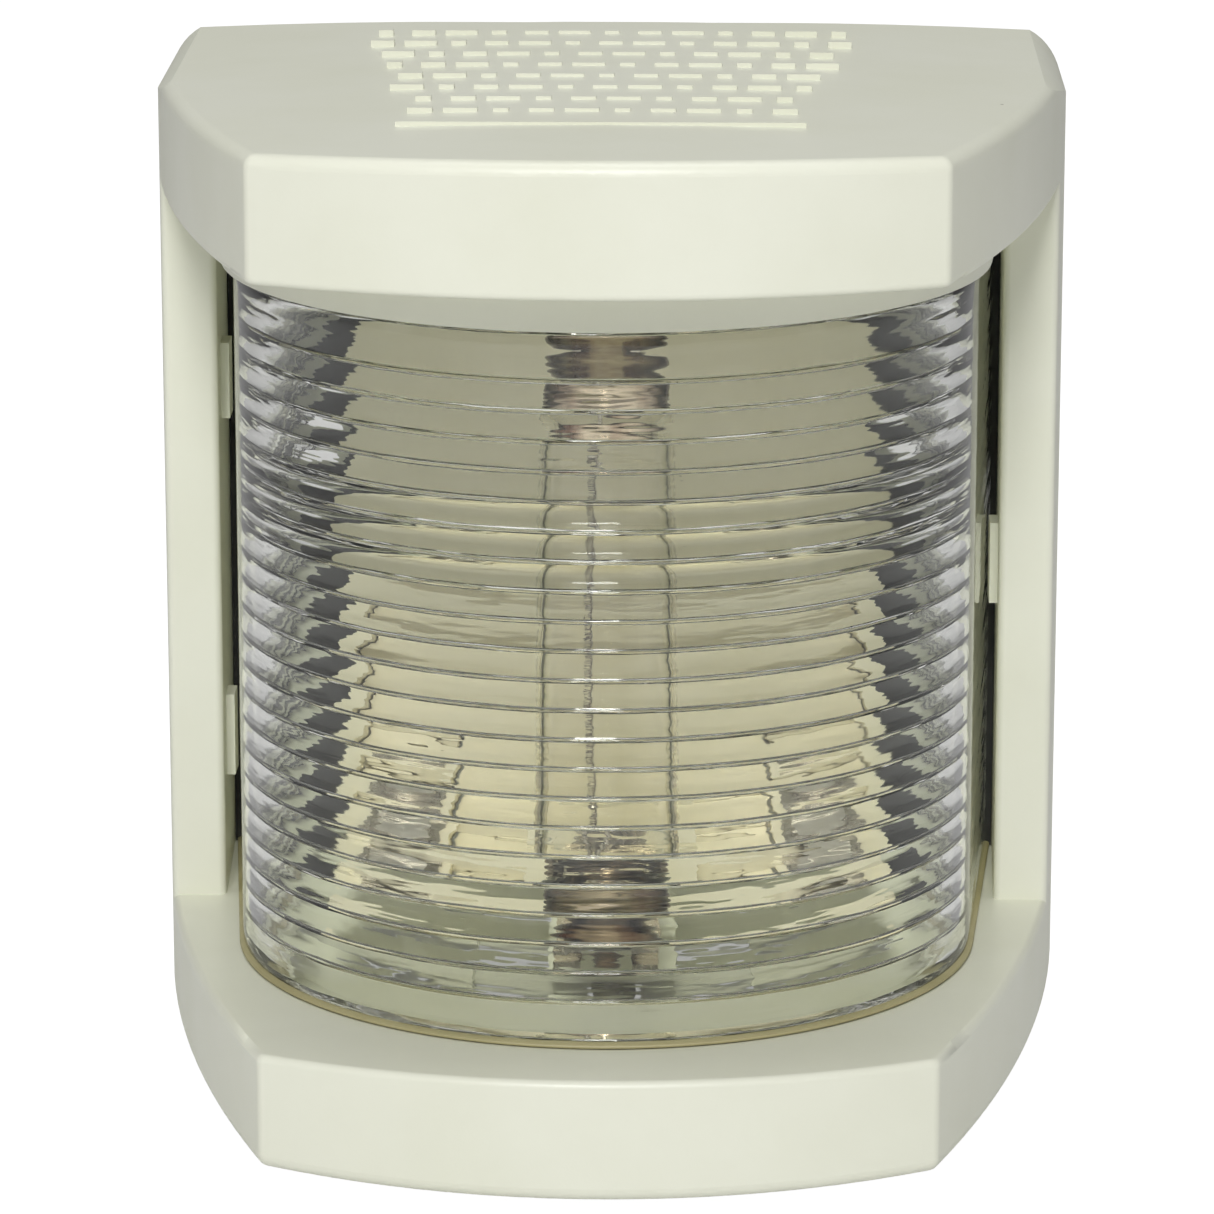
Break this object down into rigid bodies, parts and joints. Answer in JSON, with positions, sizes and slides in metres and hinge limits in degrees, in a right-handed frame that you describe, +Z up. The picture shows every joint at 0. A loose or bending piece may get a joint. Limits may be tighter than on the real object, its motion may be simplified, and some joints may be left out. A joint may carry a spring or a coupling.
{
  "type": "navigation light",
  "caption": "Compact hooded navigation light: cream housing, clear ribbed wraparound lens and a festoon lamp on a back plate; the front cover swings up for lamp changes.",
  "frame": {"origin": "centre of the back face, on the mounting plane, midway between the two mounting screws", "axes": "+Z up, +Y out of the back towards the bulkhead, so the lens faces -Y; +X to the right seen from the front"},
  "size_m": [0.063, 0.06, 0.07],
  "materials": {
    "cream_plastic": "satin moulded cream nylon",
    "inner_plastic": "beige moulded nylon",
    "lens_clear": "clear polycarbonate, ribbed inside",
    "bulb_glass": "clear blown glass",
    "seal_bead": "pale yellow soft bead",
    "gasket_rubber": "black foam rubber",
    "grommet_rubber": "black rubber",
    "stainless": "bright stainless steel",
    "contact_metal": "nickel plated spring brass",
    "rivet_metal": "nickel plated brass",
    "strip_brass": "plain brass",
    "terminal_metal": "nickel plated brass",
    "screw_metal": "zinc plated steel",
    "cap_metal": "nickel plated brass, slightly browned",
    "filament_wire": "tungsten coil",
    "support_wire": "nickel wire"
  },
  "bodies": {
    "base": {"base_plate": "cream_plastic", "rear_gasket": "gasket_rubber", "plate_seal_left": "gasket_rubber", "plate_seal_right": "gasket_rubber", "hinge_pin": "stainless", "cable_grommet": "grommet_rubber", "lamp_carrier": "inner_plastic", "wiring_cover": "inner_plastic", "contact_foot_upper": "contact_metal", "contact_foot_lower": "contact_metal", "contact_rivets": "rivet_metal", "strip_left": "strip_brass", "strip_right": "strip_brass", "terminal_left": "terminal_metal", "terminal_right": "terminal_metal", "screw_insert": "strip_brass"},
    "cover": {"front_housing": "cream_plastic", "lens": "lens_clear", "lens_seal_lower": "seal_bead", "lens_seal_upper": "seal_bead", "side_seal_left": "gasket_rubber", "side_seal_right": "gasket_rubber"},
    "lamp": {"bulb_glass": "bulb_glass", "bulb_cap_upper": "cap_metal", "bulb_cap_lower": "cap_metal", "filament": "filament_wire", "filament_supports": "support_wire"},
    "upper_leaf": {"contact_upper": "contact_metal"},
    "lower_leaf": {"contact_lower": "contact_metal"},
    "cover_screw_washer": {"cover_washer": "stainless"},
    "cover_screw_body": {"cover_screw": "stainless"},
    "left_terminal_washer": {"terminal_washer_left": "terminal_metal"},
    "left_terminal_screw": {"terminal_screw_left": "screw_metal"},
    "right_terminal_washer": {"terminal_washer_right": "terminal_metal"},
    "right_terminal_screw": {"terminal_screw_right": "screw_metal"}
  },
  "joints": [
    {"name": "cover_hinge", "type": "hinge", "parent": "base", "child": "cover", "pos_m": [0, -0.0046, 0.0292], "axis": [-1, 0, 0], "range_deg": [0, 60]},
    {"name": "lamp_pull", "type": "slide", "parent": "base", "child": "lamp", "axis": [0, -1, 0], "range_m": [0, 0.012]},
    {"name": "upper_leaf_flex", "type": "hinge", "parent": "base", "child": "upper_leaf", "pos_m": [0, -0.0144, 0.01585], "axis": [-1, 0, 0], "range_deg": [0, 2], "stiffness_Nm_per_rad": 0.03},
    {"name": "lower_leaf_flex", "type": "hinge", "parent": "base", "child": "lower_leaf", "pos_m": [0, -0.0144, -0.02485], "axis": [1, 0, 0], "range_deg": [0, 2], "stiffness_Nm_per_rad": 0.03},
    {"name": "cover_screw_travel", "type": "slide", "parent": "base", "child": "cover_screw_washer", "axis": [0, 0, -1], "range_m": [0, 0.0031]},
    {"name": "cover_screw_turn", "type": "hinge", "parent": "cover_screw_washer", "child": "cover_screw_body", "pos_m": [0, -0.005, -0.035], "axis": [0, 0, -1], "range_deg": [0, 2160]},
    {"name": "left_terminal_travel", "type": "slide", "parent": "base", "child": "left_terminal_washer", "axis": [0, -1, 0], "range_m": [0, 0.0016]},
    {"name": "left_terminal_turn", "type": "hinge", "parent": "left_terminal_washer", "child": "left_terminal_screw", "pos_m": [-0.015, -0.011, -0.0209], "axis": [0, -1, 0], "range_deg": [0, 1080]},
    {"name": "right_terminal_travel", "type": "slide", "parent": "base", "child": "right_terminal_washer", "axis": [0, -1, 0], "range_m": [0, 0.0016]},
    {"name": "right_terminal_turn", "type": "hinge", "parent": "right_terminal_washer", "child": "right_terminal_screw", "pos_m": [0.015, -0.011, -0.0209], "axis": [0, -1, 0], "range_deg": [0, 1080]}
  ],
  "couplings": [
    {"joint": "cover_screw_travel", "follows": "cover_screw_turn", "m_per_rad": 0.000079577},
    {"joint": "left_terminal_travel", "follows": "left_terminal_turn", "m_per_rad": 0.000079577},
    {"joint": "right_terminal_travel", "follows": "right_terminal_turn", "m_per_rad": 0.000079577}
  ]
}
